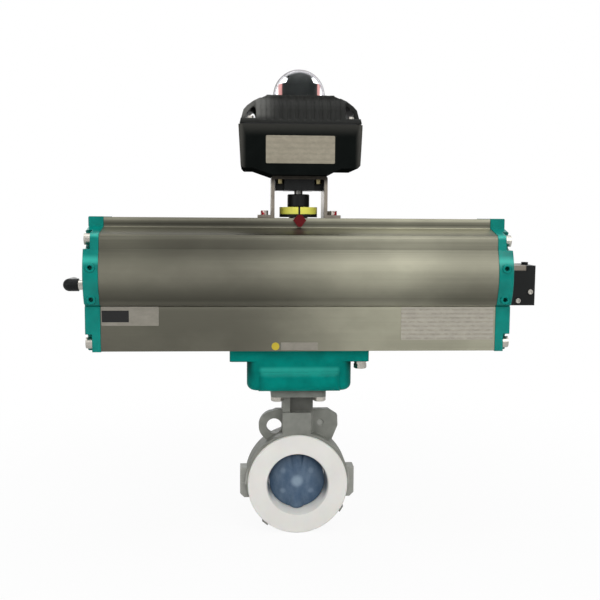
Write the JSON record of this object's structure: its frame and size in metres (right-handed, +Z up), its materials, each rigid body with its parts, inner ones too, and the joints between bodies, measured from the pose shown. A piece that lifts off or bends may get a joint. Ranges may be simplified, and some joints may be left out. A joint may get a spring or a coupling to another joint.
{
  "type": "lined butterfly valve",
  "caption": "Wafer butterfly valve with a white lined bore, teal adapter, long spring-return rack and pinion actuator and a black limit switch box on top.",
  "frame": {"origin": "centre of the passage, where the stem axis crosses the pipe axis", "axes": "+Z up the stem, Y along the pipe with -Y the front face, +X along the actuator to the pilot valve"},
  "size_m": [0.555, 0.1421, 0.5464],
  "materials": {
    "ptfe": "smooth white fluoropolymer",
    "backing_rubber": "matt elastomer",
    "disc_coating": "blue-grey fluoropolymer coat over steel",
    "body_cast": "grey coated ductile iron",
    "stainless": "stainless steel",
    "bush_plastic": "filled bearing plastic",
    "seal_rubber": "matt elastomer",
    "teal_cast": "teal coated aluminium casting",
    "plain_steel": "turned steel",
    "barrel_aluminium": "brushed hard-anodised extrusion",
    "piston_aluminium": "die cast",
    "spring_steel": "oiled spring steel",
    "black_plastic": "black moulding",
    "box_black": "black powder coat",
    "yellow": "bright yellow moulding",
    "red": "red moulding",
    "clear_dome": "clear polycarbonate",
    "nickel": "nickel-plated brass",
    "cam_plastic": "red cam moulding",
    "terminal_plastic": "green terminal moulding"
  },
  "bodies": {
    "housing": {"liner": "ptfe", "liner_backing": "backing_rubber", "body_upper": "body_cast", "body_lower": "body_cast", "body_screws": "stainless", "stem_bush_lower": "bush_plastic", "stem_seal": "seal_rubber", "stem_bush_upper": "bush_plastic", "stem_wiper": "seal_rubber", "flange_bolts": "stainless", "adapter_housing": "teal_cast", "adapter_bolts": "stainless", "actuator_body": "barrel_aluminium", "pinion_bearing_lower": "bush_plastic", "pinion_bearing_upper": "bush_plastic", "pointer": "red", "bracket": "stainless", "bracket_screws": "stainless", "spacer_block": "black_plastic", "spacer_screws": "nickel", "switch_box_base": "box_black", "switch_box_cover": "box_black", "cover_gasket": "seal_rubber", "cover_screws": "stainless", "cable_plugs": "black_plastic", "micro_switches": "black_plastic", "terminal_block": "terminal_plastic", "beacon_dome": "clear_dome", "elbow_stub": "nickel", "elbow_body": "black_plastic", "elbow_collet": "black_plastic", "pilot_valve": "black_plastic", "pilot_plate": "stainless", "pilot_screws": "stainless", "end_cap_left": "teal_cast", "cap_gasket_left": "seal_rubber", "cap_screws_left": "stainless", "return_spring_left": "spring_steel", "end_cap_right": "teal_cast", "cap_gasket_right": "seal_rubber", "cap_screws_right": "stainless", "return_spring_right": "spring_steel"},
    "drive": {"disc": "disc_coating", "coupling_sleeve": "plain_steel", "pinion_shaft": "plain_steel", "position_indicator": "black_plastic", "indicator_inserts": "yellow", "shaft_coupling": "black_plastic", "switch_shaft": "stainless", "switch_cams": "cam_plastic", "beacon_drum": "black_plastic", "beacon_vanes": "red"},
    "piston_left": {"piston_left": "piston_aluminium", "piston_ring_left": "seal_rubber", "rack_pad_left": "bush_plastic"},
    "piston_right": {"piston_right": "piston_aluminium", "piston_ring_right": "seal_rubber", "rack_pad_right": "bush_plastic"},
    "button": {"override_button": "nickel"}
  },
  "joints": [
    {"name": "stem_turn", "type": "hinge", "parent": "housing", "child": "drive", "pos_m": [0, 0, 0], "axis": [0, 0, 1], "range_deg": [0, 90], "stiffness_Nm_per_rad": 15, "springref_deg": -0.57},
    {"name": "piston_right_slide", "type": "slide", "parent": "housing", "child": "piston_right", "axis": [1, 0, 0], "range_m": [0, 0.04242], "deforming": ["return_spring_right"]},
    {"name": "piston_left_slide", "type": "slide", "parent": "housing", "child": "piston_left", "axis": [-1, 0, 0], "range_m": [0, 0.04242], "deforming": ["return_spring_left"]},
    {"name": "override_press", "type": "slide", "parent": "housing", "child": "button", "axis": [0, 0, -1], "range_m": [0, 0.002], "stiffness_N_per_m": 500, "springref_m": -0.0005}
  ],
  "couplings": [
    {"joint": "piston_right_slide", "follows": "stem_turn", "m_per_rad": 0.027},
    {"joint": "piston_left_slide", "follows": "stem_turn", "m_per_rad": 0.027}
  ]
}
